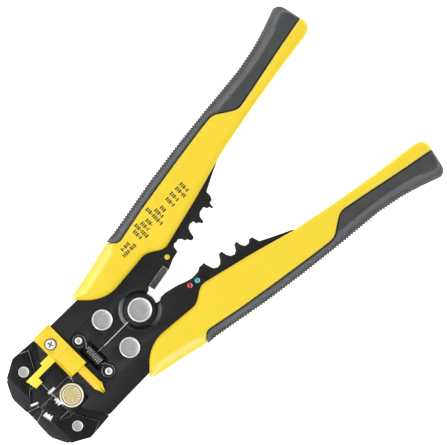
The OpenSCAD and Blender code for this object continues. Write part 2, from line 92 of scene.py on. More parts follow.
# Handles: the groove between the two mouldings, and the ribs along the grip
GROOVE_DEPTH = 3.2
GROOVE_GAP = 0.32
GRIP_FRONT = (-12, -8)
RIB_PITCH = 1.3
RIB_DEPTH = 0.6
RIB_REACH = 2.6
RIB_RAMP = 0.9
RIB_RANGE = (-119.0, -11.0)
RIB_FADE = 4
# How far the rubber painted paler, as painted light on the sloping ribbed band, runs onto the
# flat face
BAND_LEAD = 1.2
# Along the grip, where the flat face gives way to the sloping ribbed band: (x, inset)
RIDGE = ((-135, 2.4), (-120, 3.5), (-110, 3.6), (-100, 3.3), (-90, 3.2), (-80, 3.9),
         (-70, 4.6), (-20, 4.6), (-10, 3.0))

# The knob: its back as (inset from the rim, rise), and its turned face from the side
# inwards as (inset from the rim, drop from the top)
KNOB_T = 3.0
KNOB_NECK_R = 3.0
KNOB_BACK = ((0.35, 0.1), (0, 0.45))
KNURLS = 40
KNURL_DEPTH = 0.13
KNOB_FACE = ((0, 0.75), (0.18, 0.35), (0.5, 0.1), (0.75, 0.12), (0.95, 0.32), (1.15, 0.42),
             (1.3, 0.34), (1.45, 0.16), (1.7, 0.12), (1.85, 0.24), (1.95, 0.34))
KNOB_DISH_R = 0.9
KNOB_DISH = 0.36
# Bands of the knob's face by inset from the rim: painted highlight on the beads, painted shade
# in the grooves
HIGHLIGHT_INSETS = ((-1, 0.78), (1.28, 1.72))
SHADE_INSETS = ((0.78, 1.28), (1.72, 1.97))
# Raised marks on the knob, painted pale as a highlight, with painted shade in the gaps between
# them
MARK_RING = (2.6, 1.8)
MARK_FOOT, MARK_DROP, SHADE_DROP = 0.45, 0.14, 0.3
FIRST_MARK, LAST_MARK, MARK_SPACING = 58, 190, 22
MARK_TURN = (0, 9)
SHADE_TURN = (9.5, 16)

# The return spring
SPRING_WIRE = 0.75
SPRING_TURNS = 9.5
SPRING_PITCH = 0.93
TURN_STEPS = 28
AXIS_SHIFT = -0.2
HOOK_LEAD = ((-0.3, 0.5), (-1.2, 1.2))
HOOK_SHIFT = -0.3
HOOK_R = 2.7
HOOK_START = 205
HOOK_STEP = 10
HOOK_STEPS = 30

# Code dots, wire stop and cutter
DOT_R = 1.15
# Where the wire stop's arm is painted paler, as painted light
STOP_ARM_X = 40.6
STOP_ARM_Y = -7
# Behind this place the cutter blade is painted bright, as a painted highlight on its rear end
CUTTER_HIGHLIGHT_X = -19.6
# Outside this radius and inside the cross, the screw is painted dark as painted shade
SCREW_RIM_R = 2.08
SCREW_CROSS_R = 1.4
SCREW_CROSS_DEPTH = 0.12

# Steel parts: where some faces take another material, such as a painted highlight
RING_R = (7.3, 9.6)
RING_DEPTH = (0.005, 1.4)
NOSE_X, NOSE_Y = 58.9, 4.4
FLANK_X, FLANK_Y = 52.5, 18
SLOPE_X, SLOPE_DEPTH = 59.5, 1.5
REAR_CORNER_X, REAR_CORNER_Y = 50.3, 20.6
THROAT_X, THROAT_Y, THROAT_Z = 58.8, (0.5, 3.8), 9.5
TOOTH_Y = 0.9

# Printed on the right handle: short columns (x, from y, to y) and rows (y, from x, to x)
PRINT_COLUMNS = ((-49.5, -25.5, -20.6), (-47.0, -25.5, -20.2), (-43.8, -25.6, -20.6),
                 (-41.0, -25.2, -20.4), (-36.8, -24.4, -21.6), (-34.3, -25.2, -20.8),
                 (-32.0, -28.0, -18.6), (-28.7, -24.8, -21.4), (-26.3, -25.4, -21.2),
                 (-23.9, -26.6, -18.6), (-21.6, -25.2, -20.4))
PRINT_ROWS = ((-20.7, -18.0, -11.0), (-23.0, -16.6, -12.0))
# Each dash of a printed line: (its length, half of its width)
STROKES = ((0.62, 0.85), (0.5, 0.8), (0.75, 0.85), (0.55, 0.3), (0.6, 0.8))
STROKE_GAP = 0.34
LEAST_DASH = 0.4
INK_SINK, INK_RISE = 0.05, 0.03

# The view: straight down, with the handles towards the upper right
VIEW_WIDTH = 187.74
VIEW_CENTRE = (-50.7, -1.1)
VIEW_TURN = 135
FOCUS_Z = 14
LENS = 300.0
SENSOR = 36.0
# The lights and the floor, in metres and watts; a light is (name, place, size, power)
LIGHTS = (("softbox", (0.6, -0.25, 1.1), (0.9, 0.9), 6.4),
          ("fill", (-0.7, 0.4, 1.0), (1.2, 1.2), 2.6),
          ("strip_front", (1.2, 0.1, 0.55), (0.16, 1.2), 5),
          ("strip_side", (-0.5, -1.1, 0.5), (1.2, 0.16), 4),
          ("strip_back", (-1.0, 0.9, 0.4), (0.14, 1.0), 3.2))
LIGHT_TARGET = (-0.05, 0, 0)
FLOOR_REACH = 4.0
FLOOR_GAP = 0.0002
WORLD_STRENGTH = 0.45


# ---------------------------------------------------------------- mesh helpers

def smoothstep(low, high, value):
    t = min(1.0, max(0.0, (value - low) / (high - low)))
    return t * t * (3 - 2 * t)


def mix(a, b, t):
    return a + (b - a) * t


def solid(name, verts, faces, material, angle=35, origin=(0, 0, 0)):
    """A mesh object made of points in millimetres, smooth except at edges over the angle."""
    mesh = bpy.data.meshes.new(name)
    mesh.from_pydata([Vector(v) * MM for v in verts], [], faces)
    bm = bmesh.new()
    bm.from_mesh(mesh)
    bmesh.ops.remove_doubles(bm, verts=bm.verts, dist=WELD * MM)
    bmesh.ops.recalc_face_normals(bm, faces=bm.faces)
    bm.to_mesh(mesh)
    bm.free()
    return finish_mesh(name, mesh, material, angle, origin)


def finish_mesh(name, mesh, material, angle, origin=(0, 0, 0), edge=None):
    """With an edge material, faces that already have index 1 keep it."""
    marked = [face.index for face in mesh.polygons if edge and face.material_index == 1]
    mesh.materials.clear()
    mesh.materials.append(material)
    if edge:
        mesh.materials.append(edge)
    for i in marked:
        mesh.polygons[i].material_index = 1
    mesh.shade_smooth()
    mesh.set_sharp_from_angle(angle=math.radians(angle))
    obj = bpy.data.objects.new(name, mesh)
    obj.location = Vector(origin) * MM
    bpy.context.scene.collection.objects.link(obj)
    return obj


def loft(rings):
    """Points and faces of a closed skin over rings with the same number of points."""
    n = len(rings[0])
    verts = [p for ring in rings for p in ring]
    faces = []
    for i in range(len(rings) - 1):
        for k in range(n):
            j = (k + 1) % n
            faces.append((i * n + k, i * n + j, (i + 1) * n + j, (i + 1) * n + k))
    faces.append(tuple(range(n)))
    faces.append(tuple((len(rings) - 1) * n + k for k in range(n)))
    return verts, faces


def lathe(name, profile, material, origin, segments=96, angle=35, wobble=None):
    """A turned solid: profile is [(radius, height), ...] from the axis back to the axis.
    With wobble, the radius changes with the angle."""
    rings = []
    for s in range(segments):
        a = 2 * math.pi * s / segments
        ring = []
        for r, z in profile:
            reach = r if wobble is None else wobble(r, a)
            ring.append((reach * math.cos(a), reach * math.sin(a), z))
        rings.append(ring)
    n = len(profile)
    verts = [p for ring in rings for p in ring]
    faces = []
    for s in range(segments):
        t = (s + 1) % segments
        for k in range(n - 1):
            faces.append((s * n + k, t * n + k, t * n + k + 1, s * n + k + 1))
    return solid(name, verts, faces, material, angle, origin)


def sweep(name, path, radius, material):
    """A round wire along a path of points, with domed ends."""
    dome_reach, dome_radius = radius * 0.6, radius * 0.45
    points = [Vector(p) for p in path]
    start = (points[0] - points[1]).normalized()
    end = (points[-1] - points[-2]).normalized()
    points = [points[0] + start * dome_reach] + points + [points[-1] + end * dome_reach]
    radii = [dome_radius] + [radius] * (len(points) - 2) + [dome_radius]
    rings = []
    across = Vector((0, 0, 1))
    for i, (p, r) in enumerate(zip(points, radii)):
        along = points[min(i + 1, len(points) - 1)] - points[max(i - 1, 0)]
        along.normalize()
        across = (across - along * across.dot(along)).normalized()
        other = along.cross(across)
        rings.append([p + r * (math.cos(a) * across + math.sin(a) * other)
                      for a in (math.tau * k / WIRE_SIDES for k in range(WIRE_SIDES))])
    return solid(name, *loft(rings), material, 60)


def joined(skins):
    """The points and faces of several skins as one set."""
    verts, faces = [], []
    for new_verts, new_faces in skins:
        faces += [tuple(i + len(verts) for i in face) for face in new_faces]
        verts += new_verts
    return verts, faces


def arc_block(r0, r1, a0, a1, z0, z1):
    """A low block bent round the axis, between two radii, two angles and two heights."""
    rings = []
    for k in range(ARC_STEPS + 1):
        a = math.radians(mix(a0, a1, k / ARC_STEPS))
        corners = ((r0, z0), (r1, z0), (r1, z1), (r0, z1))
        rings.append([(r * math.cos(a), r * math.sin(a), z) for r, z in corners])
    return loft(rings)


def arc_blocks(name, origin, blocks, material):
    """Raised marks on a turned face, in one piece."""
    skins = [arc_block(*block) for block in blocks]
    return solid(name, *joined(skins), material, 30, origin)


def bar(x0, x1, y0, y1, z0, z1):
    corners = [(x0, y0), (x1, y0), (x1, y1), (x0, y1)]
    return loft([[(x, y, z) for x, y in corners] for z in (z0, z1)])


def bars(name, boxes, z0, z1, material):
    """Thin printed bars, each a box (x0, x1, y0, y1), in one piece."""
    skins = [bar(*box, z0, z1) for box in boxes]
    return solid(name, *joined(skins), material, 30)


def rounded(node, material, width, edge=None, plain=None):
    """The node's own shape with its sharp edges broken to this width, as a new piece. The
    broken edges take the material named as edge, such as steel worn and painted bright
    as a highlight, except where plain is true of a face's centre in millimetres."""
    mesh = frame["nodes"][node].data.copy()
    bm = bmesh.new()
    bm.from_mesh(mesh)
    bmesh.ops.remove_doubles(bm, verts=bm.verts, dist=CAD_WELD * MM)
    bmesh.ops.dissolve_limit(bm, angle_limit=math.radians(FLAT_ANGLE), verts=bm.verts,
                             edges=bm.edges)
    sharp = [e for e in bm.edges
             if len(e.link_faces) == 2 and e.calc_face_angle(0) > math.radians(SHARP_ANGLE)]
    bmesh.ops.bevel(bm, geom=sharp, offset=width * MM, offset_type="OFFSET",
                    segments=2, profile=0.6, affect="EDGES", clamp_overlap=True,
                    material=1 if edge else 0)
    for face in bm.faces:
        if plain and plain(face.calc_center_median() / MM):
            face.material_index = 0
    bm.to_mesh(mesh)
    bm.free()
    piece = finish_mesh(node + "_shape", mesh, material, angle=30, edge=edge)
    return stand_for(piece, node)


def second_material(piece, material, chosen, edges_only=False):
    """Gives another material to the faces, or only to the broken edges, whose centre, in
    millimetres, is chosen."""
    piece.data.materials.append(material)
    for face in piece.data.polygons:
        if edges_only and face.material_index != 1:
            continue
        if chosen(face.center / MM):
            face.material_index = len(piece.data.materials) - 1
    return piece


def stand_for(piece, node):
    """The piece rides with the CAD node's body and replaces it."""
    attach(piece, BODY_OF[node])
    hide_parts(node)
    return piece


def add_to(piece, node):
    """An extra piece that rides with a CAD node's body."""
    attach(piece, BODY_OF[node])
    return piece


def centre(node):
    low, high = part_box(node)
    return (low + high) / 2 / MM


def top(node):
    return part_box(node)[1].z / MM


def bottom(node):
    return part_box(node)[0].z / MM


# ---------------------------------------------------------------- materials

class Shader:
    """A Principled material with small helpers for its procedural detail."""

    def __init__(self, name, color, rough, metallic=0.0, **sockets):
        self.mat = bpy.data.materials.new(name)
        self.mat.use_nodes = True
        self.nodes = self.mat.node_tree.nodes
        self.links = self.mat.node_tree.links
        self.bsdf = self.nodes["Principled BSDF"]
        self.color = (*color, 1)
        self.set("Base Color", self.color)
        self.set("Roughness", rough)
        self.set("Metallic", metallic)
        for key, value in sockets.items():
            self.set(key.replace("_", " "), value)
        self.coords = self.nodes.new("ShaderNodeTexCoord")
        self.normal = None

    def set(self, socket, value):
        self.bsdf.inputs[socket].default_value = value

    def noise(self, scale, detail, stretch=(1, 1, 1)):
        """Noise with about this many grains to the metre."""
        mapping = self.nodes.new("ShaderNodeMapping")
        mapping.inputs["Scale"].default_value = stretch
        tex = self.nodes.new("ShaderNodeTexNoise")
        tex.inputs["Scale"].default_value = scale
        tex.inputs["Detail"].default_value = detail
        tex.inputs["Roughness"].default_value = 0.55
        self.links.new(self.coords.outputs["Object"], mapping.inputs["Vector"])
        self.links.new(mapping.outputs["Vector"], tex.inputs["Vector"])
        return tex.outputs["Fac"]

    def remap(self, source, low, high, from_low=0.3, from_high=0.7):
        node = self.nodes.new("ShaderNodeMapRange")
        node.inputs["From Min"].default_value = from_low
        node.inputs["From Max"].default_value = from_high
        node.inputs["To Min"].default_value = low
        node.inputs["To Max"].default_value = high
        self.links.new(source, node.inputs["Value"])
        return node.outputs["Result"]

    def tint(self, source, other, low=0.35, high=0.7):
        """Mixes the colour towards another one where the source is high."""
        ramp = self.nodes.new("ShaderNodeMix")
        ramp.data_type = "RGBA"
        current = self.bsdf.inputs["Base Color"]
        if current.is_linked:
            self.links.new(current.links[0].from_socket, ramp.inputs["A"])
        else:
            ramp.inputs["A"].default_value = self.color
        ramp.inputs["B"].default_value = (*other, 1)
        self.links.new(self.remap(source, 0, 1, low, high), ramp.inputs["Factor"])
        self.links.new(ramp.outputs["Result"], current)

    def slope(self):
        """0 on a level face and 1 on an upright one."""
        split = self.nodes.new("ShaderNodeSeparateXYZ")
        self.links.new(self.coords.outputs["Normal"], split.inputs["Vector"])
        size = self.nodes.new("ShaderNodeMath")
        size.operation = "ABSOLUTE"
        self.links.new(split.outputs["Z"], size.inputs[0])
        return self.remap(size.outputs["Value"], 1, 0, 0.0, 1.0)

    def along_x(self):
        """The place along the tool, in metres."""
        split = self.nodes.new("ShaderNodeSeparateXYZ")
        self.links.new(self.coords.outputs["Object"], split.inputs["Vector"])
        return split.outputs["X"]

    def facing(self, x, y):
        """How far a face leans towards this level direction."""
        node = self.nodes.new("ShaderNodeVectorMath")
        node.operation = "DOT_PRODUCT"
        node.inputs[1].default_value = Vector((x, y, 0)).normalized()
        self.links.new(self.coords.outputs["Normal"], node.inputs[0])
        return node.outputs["Value"]

    def roughen(self, source, low, high):
        self.links.new(self.remap(source, low, high), self.bsdf.inputs["Roughness"])

    def bump(self, source, strength, distance):
        node = self.nodes.new("ShaderNodeBump")
        node.inputs["Strength"].default_value = strength
        node.inputs["Distance"].default_value = distance * MM
        self.links.new(source, node.inputs["Height"])
        if self.normal is not None:
            self.links.new(self.normal, node.inputs["Normal"])
        self.normal = node.outputs["Normal"]
        self.links.new(self.normal, self.bsdf.inputs["Normal"])

    def rings(self, scale):
        tex = self.nodes.new("ShaderNodeTexWave")
        tex.wave_type = "RINGS"
        tex.rings_direction = "Z"
        tex.inputs["Scale"].default_value = scale
        tex.inputs["Distortion"].default_value = 0
        tex.inputs["Detail"].default_value = 2
        self.links.new(self.coords.outputs["Object"], tex.inputs["Vector"])
        return tex.outputs["Fac"]


def black_steel(name="black_steel", specular=0.27):
    s = Shader(name, (0.0065, 0.0065, 0.0073), rough=0.38, Specular_IOR_Level=specular)
    s.tint(s.noise(160, 5), (0.0105, 0.0105, 0.0118))
    s.tint(s.noise(2600, 2), (0.019, 0.019, 0.021), 0.6, 0.8)
    s.roughen(s.noise(420, 4), 0.32, 0.46)
    s.bump(s.noise(3800, 3), 0.2, 0.03)
    return s.mat


def worn_and_highlight_steel():
    # Broken edges painted lighter: edge wear, and a painted highlight along the edges
    s = Shader("black_steel_worn_edge_painted_highlight", (0.06, 0.06, 0.062), rough=0.3, metallic=0.55)
    s.tint(s.noise(700, 4), (0.13, 0.13, 0.132))
    s.roughen(s.noise(1500, 3), 0.24, 0.4)
    s.bump(s.noise(2500, 3), 0.2, 0.02)
    return s.mat


def gloss_steel_painted_highlight():
    """Painted highlight where the recess faces the rear left, and a weaker painted highlight
    opposite to that.
    """
    s = Shader("black_steel_gloss_painted_highlight", (0.02, 0.02, 0.021), rough=0.25, metallic=0.3)
    s.tint(s.noise(300, 4), (0.03, 0.03, 0.032))
    s.tint(s.facing(-1, 0.75), (0.62, 0.62, 0.622), 0.42, 0.72)
    s.tint(s.facing(0.7, -1), (0.24, 0.24, 0.242), 0.42, 0.72)
    s.roughen(s.noise(1200, 3), 0.16, 0.28)
    s.bump(s.noise(2500, 3), 0.1, 0.01)
    return s.mat


def rubbed_and_highlight_steel():
    # Broken edges painted pale: rubbed wear, and a painted highlight along the edges
    s = Shader("black_steel_rubbed_edge_painted_highlight", (0.3, 0.3, 0.302), rough=0.3, metallic=0.5)
    s.tint(s.noise(240, 4), (0.8, 0.8, 0.802))
    s.roughen(s.noise(1500, 3), 0.22, 0.38)
    s.bump(s.noise(2500, 3), 0.2, 0.02)
    return s.mat


def dark_steel():
    s = Shader("dark_steel", (0.009, 0.009, 0.0095), rough=0.38, metallic=0.2,
               Specular_IOR_Level=0.25)
    s.tint(s.noise(500, 4, stretch=(1, 6, 1)), (0.02, 0.02, 0.0215))
    s.roughen(s.noise(900, 3), 0.3, 0.48)
    s.bump(s.noise(1800, 3, stretch=(1, 8, 1)), 0.3, 0.03)
    return s.mat


def ground_steel(name="ground_steel", highlight_x=None):
    """With a place in millimetres, the steel behind that place is painted bright as a painted
    highlight.
    """
    s = Shader(name, (0.25, 0.25, 0.252), rough=0.36, metallic=0.7)
    grain = s.noise(900, 3, stretch=(10, 1, 1))
    s.tint(grain, (0.36, 0.36, 0.362))
    if highlight_x:
        s.tint(s.along_x(), (0.95, 0.95, 0.955), (highlight_x + 0.2) * MM, (highlight_x - 0.1) * MM)
    s.roughen(s.noise(1200, 3), 0.28, 0.45)
    s.bump(grain, 0.3, 0.02)
    return s.mat


def bright_steel_and_painted_highlight():
    # Bright steel: the screw head's own colour, and a painted highlight on rivet rims, post
    # rims, corners and edges
    s = Shader("bright_steel_and_painted_highlight", (0.9, 0.895, 0.89), rough=0.3, metallic=0.45)
    s.tint(s.noise(900, 4), (0.95, 0.945, 0.94))
    s.roughen(s.noise(1500, 3), 0.22, 0.36)
    s.bump(s.noise(2500, 3), 0.1, 0.01)
    return s.mat


def rivet_steel():
    s = Shader("rivet_steel", (0.43, 0.42, 0.415), rough=0.36, metallic=0.6)
    s.tint(s.noise(1300, 5), (0.34, 0.33, 0.325))
    s.tint(s.noise(260, 3), (0.48, 0.47, 0.465), 0.45, 0.75)
    s.roughen(s.noise(1500, 3), 0.33, 0.46)
    s.bump(s.noise(2500, 3), 0.1, 0.01)
    return s.mat


def brass():
    s = Shader("pale_brass", (0.56, 0.46, 0.21), rough=0.36, metallic=0.5)
    s.tint(s.noise(700, 4), (0.66, 0.56, 0.3))
    s.roughen(s.noise(1500, 3), 0.3, 0.46)
    s.bump(s.rings(1800), 0.2, 0.02)
    s.bump(s.noise(1700, 3), 0.15, 0.02)
    return s.mat


def brass_painted_highlight():
    # Paler brass, a painted highlight on the knob's beads and marks
    s = Shader("brass_painted_highlight", (0.9, 0.85, 0.66), rough=0.32, metallic=0.35)
    s.tint(s.noise(800, 4), (0.96, 0.93, 0.8))
    s.roughen(s.noise(1500, 3), 0.24, 0.4)
    s.bump(s.noise(1700, 3), 0.12, 0.02)
    return s.mat


def brass_shade(name, color, other):
    # Darker brass, painted shade in grooves, gaps and recesses
    s = Shader(name, color, rough=0.5, metallic=0.4)
    s.tint(s.noise(900, 4), other)
    s.roughen(s.noise(1500, 3), 0.4, 0.6)
    s.bump(s.noise(1700, 3), 0.2, 0.02)
    return s.mat


def spring_steel(name, color, other):
    s = Shader(name, color, rough=0.26, metallic=0.85)
    s.tint(s.noise(900, 3), other)
    s.roughen(s.noise(1500, 3), 0.2, 0.34)
    s.bump(s.noise(3000, 2), 0.15, 0.01)
    return s.mat


def yellow_shell(side):
    """Painted paler, as a painted highlight, where the shell slopes towards its outer side."""
    s = Shader("yellow_shell_" + SIDE_NAMES[side], (0.9, 0.665, 0.026), rough=0.5,
               Specular_IOR_Level=0.35)
    s.tint(s.noise(60, 3), (0.915, 0.695, 0.034))
    s.tint(s.noise(2200, 2), (0.84, 0.61, 0.022), 0.62, 0.85)
    s.tint(s.facing(0, side), (0.95, 0.8, 0.18), 0.1, 0.65)
    s.roughen(s.noise(300, 4), 0.44, 0.58)
    s.bump(s.noise(1500, 3), 0.22, 0.04)
    return s.mat


def grey_rubber():
    s = Shader("grey_rubber", (0.056, 0.058, 0.061), rough=0.75, Specular_IOR_Level=0.25)
    s.tint(s.noise(120, 4), (0.072, 0.074, 0.077))
    s.tint(s.noise(2500, 2), (0.1, 0.1, 0.102), 0.6, 0.85)
    s.roughen(s.noise(500, 3), 0.66, 0.85)
    s.bump(s.noise(2600, 4), 0.5, 0.06)
    return s.mat


def ribbed_rubber_painted_light():
    # The grey rubber painted paler, as painted light on the sloping ribbed band
    s = Shader("grey_rubber_ribs_painted_light", (0.095, 0.097, 0.102), rough=0.7, Specular_IOR_Level=0.3)
    s.tint(s.noise(120, 4), (0.12, 0.122, 0.127))
    s.tint(s.noise(2500, 2), (0.16, 0.16, 0.162), 0.6, 0.85)
    s.roughen(s.noise(500, 3), 0.6, 0.8)
    s.bump(s.noise(2600, 4), 0.4, 0.05)
    return s.mat


def stop_yellow(name, color, other):
    s = Shader(name, color, rough=0.36, Specular_IOR_Level=0.4)
    s.tint(s.noise(90, 3), other)
    # Painted shade: a deeper orange on sloping faces
    s.tint(s.slope(), (0.86, 0.5, 0.01), 0.03, 0.36)
    s.roughen(s.noise(400, 3), 0.3, 0.44)
    s.bump(s.noise(1300, 3), 0.15, 0.03)
    return s.mat


def enamel(name, color, glint):
    """Painted shade round its foot, and a painted glint on the side towards the left handle's
    end.
    """
    s = Shader(name, color, rough=0.18, Coat_Weight=0.4, Coat_Roughness=0.08)
    s.tint(s.noise(700, 3), tuple(min(1.0, c * 1.2 + 0.01) for c in color))
    s.tint(s.slope(), tuple(c * 0.35 for c in color), 0.06, 0.3)
    s.tint(s.facing(-1, 1), glint, 0.16, 0.34)
    s.bump(s.noise(1200, 2), 0.15, 0.02)
    return s.mat


def print_ink():
    s = Shader("print_ink", (0.05, 0.028, 0.012), rough=0.6)
    s.tint(s.noise(2500, 3), (0.16, 0.1, 0.03), 0.5, 0.8)
    s.bump(s.noise(3000, 2), 0.2, 0.01)
    return s.mat


def floor_white():
    s = Shader("floor_white", (0.93, 0.93, 0.93), rough=0.9, Emission_Color=(1, 1, 1, 1),
               Emission_Strength=0.8)
    s.tint(s.noise(6, 3), (0.95, 0.95, 0.95))
    return s.mat


BLACK = black_steel()
JAW_BLACK = black_steel("jaw_black_steel", 0.16)
WORN_AND_HIGHLIGHT = worn_and_highlight_steel()
RUBBED_AND_HIGHLIGHT = rubbed_and_highlight_steel()
GLOSS_PAINTED_HIGHLIGHT = gloss_steel_painted_highlight()
BRIGHT_AND_HIGHLIGHT = bright_steel_and_painted_highlight()
BRASS_HIGHLIGHT = brass_painted_highlight()
BRASS_SHADE = brass_shade("brass_painted_groove_shade", (0.36, 0.26, 0.1), (0.46, 0.35, 0.15))
SCREW_SHADE = brass_shade("screw_recess_painted_shade", (0.13, 0.1, 0.045), (0.2, 0.16, 0.08))
RIBS_PAINTED_LIGHT = ribbed_rubber_painted_light()
DARK = dark_steel()
GROUND = ground_steel()
CUTTER_AND_HIGHLIGHT = ground_steel("cutter_steel_painted_highlight", CUTTER_HIGHLIGHT_X)
RIVET = rivet_steel()
BRASS = brass()
SPRING = spring_steel("spring_steel", (0.25, 0.245, 0.235), (0.36, 0.35, 0.335))
HOOK_PAINTED_SHADE = spring_steel("spring_hook_painted_shade", (0.1, 0.1, 0.1), (0.16, 0.16, 0.16))
YELLOW = {side: yellow_shell(side) for side in SIDE_NAMES}
RUBBER = grey_rubber()
STOP = stop_yellow("stop_yellow", (0.88, 0.64, 0.02), (0.92, 0.7, 0.032))
STOP_ARM_PAINTED_LIGHT = stop_yellow("stop_arm_yellow_painted_light", (0.9, 0.76, 0.045), (0.95, 0.84, 0.08))
INK = print_ink()
ENAMEL_YELLOW = enamel("enamel_yellow", (0.78, 0.58, 0.02), (0.6, 0.45, 0.1))
ENAMEL_BLUE = enamel("enamel_blue", (0.008, 0.42, 0.56), (0.8, 0.95, 0.97))
ENAMEL_RED = enamel("enamel_red", (0.55, 0.008, 0.025), (0.95, 0.7, 0.72))


# ---------------------------------------------------------------- handles

class Outline:
    """The top outline of a CAD node, asked for its width at any x."""

    def __init__(self, node):
        mesh = frame["nodes"][node].data
        level = max(v.co.z for v in mesh.vertices) - 0.01 * MM
        self.segments = []
        for face in mesh.polygons:
            corners = [mesh.vertices[i].co for i in face.vertices]
            tops = [corner / MM for corner in corners if corner.z > level]
            upright = abs(face.normal.z) <= 0.5
            if upright and len(tops) == 2:
                self.segments.append(tuple(tops))
        xs = [p.x for seg in self.segments for p in seg]
        self.x0, self.x1 = min(xs), max(xs)

    def span(self, x):
        ys = []
        for a, b in self.segments:
            if min(a.x, b.x) <= x <= max(a.x, b.x) and abs(b.x - a.x) > 1e-6:
                ys.append(mix(a.y, b.y, (x - a.x) / (b.x - a.x)))
        return min(ys), max(ys)


def smooth_list(values, passes):
    for _ in range(passes):
        inner = [(a + 2 * b + c) / 4 for a, b, c in zip(values, values[1:], values[2:])]
        values = [values[0]] + inner + [values[-1]]
    return values


def stations(x0, x1, step, end_step):
    """Places along the handle: even, but close together at both ends."""
    inset = 0.01
    end_reach = 3
    xs = []
    x = x0 + inset
    while x < x1 - inset:
        xs.append(x)
        near_end = min(x - x0, x1 - x)
        x += mix(end_step, step, smoothstep(0, end_reach, near_end))
    xs.append(x1 - inset)
    return xs


def arc(cy, cz, ry, rz, a0, a1, n):
    out = []
    for k in range(n + 1):
        a = math.radians(mix(a0, a1, k / n))
        out.append((cy + ry * math.cos(a), cz + rz * math.sin(a)))
    return out


def section(inner, outer, mid, high, inner_round, band, drop, edge_round, gaps):
    """Half of a handle's cross-section, from the inner side over the top to the outer side.
    The band is a sloping strip along the outer edge that drops by the given height. The
    gaps, inner and outer, set the top back a little where it meets the other moulding. On
    a narrow section, each of them takes at most a share of the width."""
    least_width = 0.02
    foot_rise = 0.1
    start, end = (inner, mid), (outer, mid)
    limit = 0.1 * max(outer - inner, least_width)
    inner_gap, outer_gap = (min(gap, limit) for gap in gaps)
    groove_z = high - GROOVE_DEPTH
    lead = [start, (inner, groove_z), (inner + inner_gap, groove_z + foot_rise)]
    tail = [(outer - outer_gap, groove_z - drop + foot_rise), (outer, groove_z - drop), end]
    inner, outer = inner + inner_gap, outer - outer_gap
    width = max(outer - inner, least_width)
    r = min(inner_round, 0.42 * width)
    rz = min(inner_round * 0.8, r)
    e = min(edge_round, 0.2 * width)
    b = max(min(band, width - r - e), 0.1 * width)
    points = lead + arc(inner + r, high - rz, r, rz, 180, 90, 8)
    ridge = max(outer - e - b, inner + r + 0.05 * width)
    for k in (0.2, 0.4, 0.6, 0.8, 1):
        points.append((mix(inner + r, ridge, k), high))
    for k in (0.15, 0.4, 0.7):
        wave = 0.06 * math.sin(k * 9)
        points.append((mix(ridge, outer - e, k), high - drop * (k - wave)))
    return points + arc(outer - e, high - drop - e, e, e, 90, 0, 5) + tail


def ring_of(half, x, side, mid, squeeze):
    """Closes a half section by mirroring it below the middle plane, made lower by squeeze."""
    low = [(y, 2 * mid - z) for y, z in reversed(half[1:-1])]
    return [(x, side * y, mid + (z - mid) * squeeze) for y, z in half + low]


def end_round(distance, reach, least):
    """How much of its height a handle has at this distance from its end."""
    t = min(1.0, max(0.0, distance / reach))
    return mix(least, 1.0, math.sqrt(1 - (1 - t) ** 2))


def value_at(points, x):
    """The value at x, smoothly between the points of a table."""
    for (xa, ya), (xb, yb) in zip(points, points[1:]):
        if x <= xb:
            return mix(ya, yb, smoothstep(xa, xb, x))
    return points[-1][1]


def edges(outline, side, x):
    """How far from the middle line a handle's inner and outer edges are at x."""
    low, high = outline.span(x)
    return (low, high) if side == LEFT else (-high, -low)


def smooth_edges(outline, side, xs, passes):
    """The inner and the outer edge at each place, made smooth."""
    spans = [edges(outline, side, x) for x in xs]
    return [smooth_list(list(edge), count) for edge, count in zip(zip(*spans), passes)]


def handle_heights(side):
    """The top and the middle plane of a handle."""
    high = top(SIDE_NAMES[side] + "_handle_shell") - SKIN
    return high, high / 2 + SKIN / 2


def shell(side):
    """Yellow moulding. In front of the grip its outer edge is a wide bevel."""
    node = SIDE_NAMES[side] + "_handle_shell"
    high, mid = handle_heights(side)
    outline = Outline(node)
    xs = stations(outline.x0, outline.x1, step=0.8, end_step=0.12)
    rings = []
    for x, inner, outer in zip(xs, *smooth_edges(outline, side, xs, (3, 2))):
        bare = smoothstep(*GRIP_FRONT, x)
        half = section(inner + SHELL_INSET[0], outer - SHELL_INSET[1], mid, high,
                       inner_round=2.6, band=mix(0.3, 3.4, bare), drop=mix(0.12, 2.6, bare),
                       edge_round=mix(0.4, 1.3, bare), gaps=(0, GROOVE_GAP * (1 - bare)))
        squeeze = end_round(x - outline.x0, reach=3.5, least=0.45)
        squeeze *= end_round(outline.x1 - x, reach=3.0, least=0.68)
        rings.append(ring_of(half, x, side, mid, squeeze))
    stand_for(solid(node + "_moulding", *loft(rings), YELLOW[side], angle=50), node)


def rib_depth(x):
    """How deep the ribs are cut at x: a wave that fades out at both ends of the ribbing."""
    first, last = RIB_RANGE
    amount = smoothstep(first, first + RIB_FADE, x)
    amount *= 1 - smoothstep(last - RIB_FADE, last, x)
    return amount * RIB_DEPTH * (0.5 - 0.5 * math.cos(2 * math.pi * x / RIB_PITCH))


